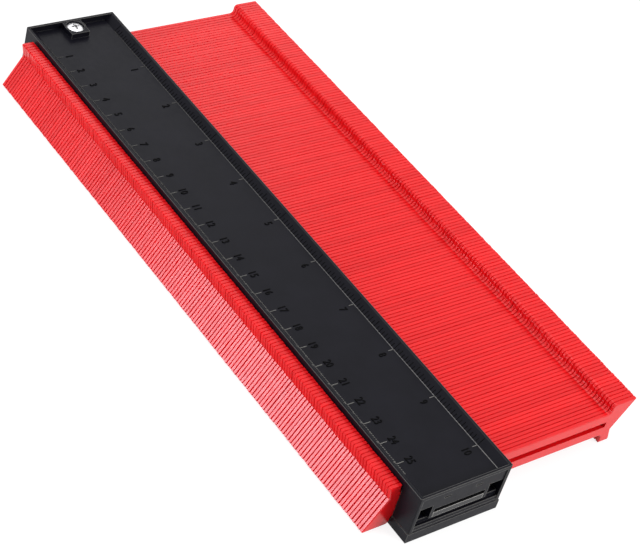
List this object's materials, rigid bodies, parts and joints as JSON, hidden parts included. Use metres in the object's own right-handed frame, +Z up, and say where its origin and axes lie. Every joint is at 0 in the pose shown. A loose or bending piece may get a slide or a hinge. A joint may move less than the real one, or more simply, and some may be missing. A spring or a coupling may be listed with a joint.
{
  "type": "contour gauge",
  "caption": "Contour gauge: a pack of thin sliding fins with wedge heads, threaded on a flat bar in a clamped ruler-like housing, that copies the outline of an edge.",
  "frame": {"origin": "centre of the housing's underside", "axes": "+X along the housing from the screw end to the window end, +Y across it towards the side where the fins stand out at rest, +Z up"},
  "size_m": [0.2782, 0.1229, 0.022],
  "materials": {
    "black_plastic": "satin moulded",
    "red_plastic": "semi-gloss moulded",
    "bright_steel": "bright zinc plated"
  },
  "bodies": {
    "housing": {"base_plate": "black_plastic", "guide_bar": "black_plastic", "top_cover": "black_plastic", "clamp_nut": "bright_steel"},
    "screw": {"clamp_screw": "bright_steel"},
    "fins_01": {"fin_group_01": "red_plastic"},
    "fins_02": {"fin_group_02": "red_plastic"},
    "fins_03": {"fin_group_03": "red_plastic"},
    "fins_04": {"fin_group_04": "red_plastic"},
    "fins_05": {"fin_group_05": "red_plastic"},
    "fins_06": {"fin_group_06": "red_plastic"},
    "fins_07": {"fin_group_07": "red_plastic"},
    "fins_08": {"fin_group_08": "red_plastic"},
    "fins_09": {"fin_group_09": "red_plastic"},
    "fins_10": {"fin_group_10": "red_plastic"},
    "fins_11": {"fin_group_11": "red_plastic"},
    "fins_12": {"fin_group_12": "red_plastic"},
    "fins_13": {"fin_group_13": "red_plastic"},
    "fins_14": {"fin_group_14": "red_plastic"},
    "fins_15": {"fin_group_15": "red_plastic"},
    "fins_16": {"fin_group_16": "red_plastic"},
    "fins_17": {"fin_group_17": "red_plastic"},
    "fins_18": {"fin_group_18": "red_plastic"},
    "fins_19": {"fin_group_19": "red_plastic"},
    "fins_20": {"fin_group_20": "red_plastic"},
    "fins_21": {"fin_group_21": "red_plastic"},
    "fins_22": {"fin_group_22": "red_plastic"},
    "fins_23": {"fin_group_23": "red_plastic"},
    "fins_24": {"fin_group_24": "red_plastic"},
    "fins_25": {"fin_group_25": "red_plastic"},
    "fins_26": {"fin_group_26": "red_plastic"},
    "fins_27": {"fin_group_27": "red_plastic"},
    "fins_28": {"fin_group_28": "red_plastic"},
    "fins_29": {"fin_group_29": "red_plastic"},
    "fins_30": {"fin_group_30": "red_plastic"},
    "fins_31": {"fin_group_31": "red_plastic"},
    "fins_32": {"fin_group_32": "red_plastic"},
    "fins_33": {"fin_group_33": "red_plastic"},
    "fins_34": {"fin_group_34": "red_plastic"},
    "fins_35": {"fin_group_35": "red_plastic"},
    "fins_36": {"fin_group_36": "red_plastic"},
    "fins_37": {"fin_group_37": "red_plastic"},
    "fins_38": {"fin_group_38": "red_plastic"},
    "fins_39": {"fin_group_39": "red_plastic"},
    "fins_40": {"fin_group_40": "red_plastic"},
    "fins_41": {"fin_group_41": "red_plastic"},
    "fins_42": {"fin_group_42": "red_plastic"},
    "fins_43": {"fin_group_43": "red_plastic"},
    "fins_44": {"fin_group_44": "red_plastic"},
    "fins_45": {"fin_group_45": "red_plastic"},
    "fins_46": {"fin_group_46": "red_plastic"},
    "fins_47": {"fin_group_47": "red_plastic"},
    "fins_48": {"fin_group_48": "red_plastic"},
    "fins_49": {"fin_group_49": "red_plastic"},
    "fins_50": {"fin_group_50": "red_plastic"},
    "fins_51": {"fin_group_51": "red_plastic"},
    "fins_52": {"fin_group_52": "red_plastic"},
    "fins_53": {"fin_group_53": "red_plastic"},
    "fins_54": {"fin_group_54": "red_plastic"},
    "fins_55": {"fin_group_55": "red_plastic"}
  },
  "joints": [
    {"name": "screw_turn", "type": "hinge", "parent": "housing", "child": "screw", "pos_m": [-0.13434, 0, 0.022], "axis": [0, 0, 1], "range_deg": [0, 360]},
    {"name": "slide_01", "type": "slide", "parent": "housing", "child": "fins_01", "axis": [0, 1, 0], "range_m": [-0.058, 0]},
    {"name": "slide_02", "type": "slide", "parent": "housing", "child": "fins_02", "axis": [0, 1, 0], "range_m": [-0.058, 0]},
    {"name": "slide_03", "type": "slide", "parent": "housing", "child": "fins_03", "axis": [0, 1, 0], "range_m": [-0.058, 0]},
    {"name": "slide_04", "type": "slide", "parent": "housing", "child": "fins_04", "axis": [0, 1, 0], "range_m": [-0.058, 0]},
    {"name": "slide_05", "type": "slide", "parent": "housing", "child": "fins_05", "axis": [0, 1, 0], "range_m": [-0.058, 0]},
    {"name": "slide_06", "type": "slide", "parent": "housing", "child": "fins_06", "axis": [0, 1, 0], "range_m": [-0.058, 0]},
    {"name": "slide_07", "type": "slide", "parent": "housing", "child": "fins_07", "axis": [0, 1, 0], "range_m": [-0.058, 0]},
    {"name": "slide_08", "type": "slide", "parent": "housing", "child": "fins_08", "axis": [0, 1, 0], "range_m": [-0.058, 0]},
    {"name": "slide_09", "type": "slide", "parent": "housing", "child": "fins_09", "axis": [0, 1, 0], "range_m": [-0.058, 0]},
    {"name": "slide_10", "type": "slide", "parent": "housing", "child": "fins_10", "axis": [0, 1, 0], "range_m": [-0.058, 0]},
    {"name": "slide_11", "type": "slide", "parent": "housing", "child": "fins_11", "axis": [0, 1, 0], "range_m": [-0.058, 0]},
    {"name": "slide_12", "type": "slide", "parent": "housing", "child": "fins_12", "axis": [0, 1, 0], "range_m": [-0.058, 0]},
    {"name": "slide_13", "type": "slide", "parent": "housing", "child": "fins_13", "axis": [0, 1, 0], "range_m": [-0.058, 0]},
    {"name": "slide_14", "type": "slide", "parent": "housing", "child": "fins_14", "axis": [0, 1, 0], "range_m": [-0.058, 0]},
    {"name": "slide_15", "type": "slide", "parent": "housing", "child": "fins_15", "axis": [0, 1, 0], "range_m": [-0.058, 0]},
    {"name": "slide_16", "type": "slide", "parent": "housing", "child": "fins_16", "axis": [0, 1, 0], "range_m": [-0.058, 0]},
    {"name": "slide_17", "type": "slide", "parent": "housing", "child": "fins_17", "axis": [0, 1, 0], "range_m": [-0.058, 0]},
    {"name": "slide_18", "type": "slide", "parent": "housing", "child": "fins_18", "axis": [0, 1, 0], "range_m": [-0.058, 0]},
    {"name": "slide_19", "type": "slide", "parent": "housing", "child": "fins_19", "axis": [0, 1, 0], "range_m": [-0.058, 0]},
    {"name": "slide_20", "type": "slide", "parent": "housing", "child": "fins_20", "axis": [0, 1, 0], "range_m": [-0.058, 0]},
    {"name": "slide_21", "type": "slide", "parent": "housing", "child": "fins_21", "axis": [0, 1, 0], "range_m": [-0.058, 0]},
    {"name": "slide_22", "type": "slide", "parent": "housing", "child": "fins_22", "axis": [0, 1, 0], "range_m": [-0.058, 0]},
    {"name": "slide_23", "type": "slide", "parent": "housing", "child": "fins_23", "axis": [0, 1, 0], "range_m": [-0.058, 0]},
    {"name": "slide_24", "type": "slide", "parent": "housing", "child": "fins_24", "axis": [0, 1, 0], "range_m": [-0.058, 0]},
    {"name": "slide_25", "type": "slide", "parent": "housing", "child": "fins_25", "axis": [0, 1, 0], "range_m": [-0.058, 0]},
    {"name": "slide_26", "type": "slide", "parent": "housing", "child": "fins_26", "axis": [0, 1, 0], "range_m": [-0.058, 0]},
    {"name": "slide_27", "type": "slide", "parent": "housing", "child": "fins_27", "axis": [0, 1, 0], "range_m": [-0.058, 0]},
    {"name": "slide_28", "type": "slide", "parent": "housing", "child": "fins_28", "axis": [0, 1, 0], "range_m": [-0.058, 0]},
    {"name": "slide_29", "type": "slide", "parent": "housing", "child": "fins_29", "axis": [0, 1, 0], "range_m": [-0.058, 0]},
    {"name": "slide_30", "type": "slide", "parent": "housing", "child": "fins_30", "axis": [0, 1, 0], "range_m": [-0.058, 0]},
    {"name": "slide_31", "type": "slide", "parent": "housing", "child": "fins_31", "axis": [0, 1, 0], "range_m": [-0.058, 0]},
    {"name": "slide_32", "type": "slide", "parent": "housing", "child": "fins_32", "axis": [0, 1, 0], "range_m": [-0.058, 0]},
    {"name": "slide_33", "type": "slide", "parent": "housing", "child": "fins_33", "axis": [0, 1, 0], "range_m": [-0.058, 0]},
    {"name": "slide_34", "type": "slide", "parent": "housing", "child": "fins_34", "axis": [0, 1, 0], "range_m": [-0.058, 0]},
    {"name": "slide_35", "type": "slide", "parent": "housing", "child": "fins_35", "axis": [0, 1, 0], "range_m": [-0.058, 0]},
    {"name": "slide_36", "type": "slide", "parent": "housing", "child": "fins_36", "axis": [0, 1, 0], "range_m": [-0.058, 0]},
    {"name": "slide_37", "type": "slide", "parent": "housing", "child": "fins_37", "axis": [0, 1, 0], "range_m": [-0.058, 0]},
    {"name": "slide_38", "type": "slide", "parent": "housing", "child": "fins_38", "axis": [0, 1, 0], "range_m": [-0.058, 0]},
    {"name": "slide_39", "type": "slide", "parent": "housing", "child": "fins_39", "axis": [0, 1, 0], "range_m": [-0.058, 0]},
    {"name": "slide_40", "type": "slide", "parent": "housing", "child": "fins_40", "axis": [0, 1, 0], "range_m": [-0.058, 0]},
    {"name": "slide_41", "type": "slide", "parent": "housing", "child": "fins_41", "axis": [0, 1, 0], "range_m": [-0.058, 0]},
    {"name": "slide_42", "type": "slide", "parent": "housing", "child": "fins_42", "axis": [0, 1, 0], "range_m": [-0.058, 0]},
    {"name": "slide_43", "type": "slide", "parent": "housing", "child": "fins_43", "axis": [0, 1, 0], "range_m": [-0.058, 0]},
    {"name": "slide_44", "type": "slide", "parent": "housing", "child": "fins_44", "axis": [0, 1, 0], "range_m": [-0.058, 0]},
    {"name": "slide_45", "type": "slide", "parent": "housing", "child": "fins_45", "axis": [0, 1, 0], "range_m": [-0.058, 0]},
    {"name": "slide_46", "type": "slide", "parent": "housing", "child": "fins_46", "axis": [0, 1, 0], "range_m": [-0.058, 0]},
    {"name": "slide_47", "type": "slide", "parent": "housing", "child": "fins_47", "axis": [0, 1, 0], "range_m": [-0.058, 0]},
    {"name": "slide_48", "type": "slide", "parent": "housing", "child": "fins_48", "axis": [0, 1, 0], "range_m": [-0.058, 0]},
    {"name": "slide_49", "type": "slide", "parent": "housing", "child": "fins_49", "axis": [0, 1, 0], "range_m": [-0.058, 0]},
    {"name": "slide_50", "type": "slide", "parent": "housing", "child": "fins_50", "axis": [0, 1, 0], "range_m": [-0.058, 0]},
    {"name": "slide_51", "type": "slide", "parent": "housing", "child": "fins_51", "axis": [0, 1, 0], "range_m": [-0.058, 0]},
    {"name": "slide_52", "type": "slide", "parent": "housing", "child": "fins_52", "axis": [0, 1, 0], "range_m": [-0.058, 0]},
    {"name": "slide_53", "type": "slide", "parent": "housing", "child": "fins_53", "axis": [0, 1, 0], "range_m": [-0.058, 0]},
    {"name": "slide_54", "type": "slide", "parent": "housing", "child": "fins_54", "axis": [0, 1, 0], "range_m": [-0.058, 0]},
    {"name": "slide_55", "type": "slide", "parent": "housing", "child": "fins_55", "axis": [0, 1, 0], "range_m": [-0.058, 0]}
  ]
}
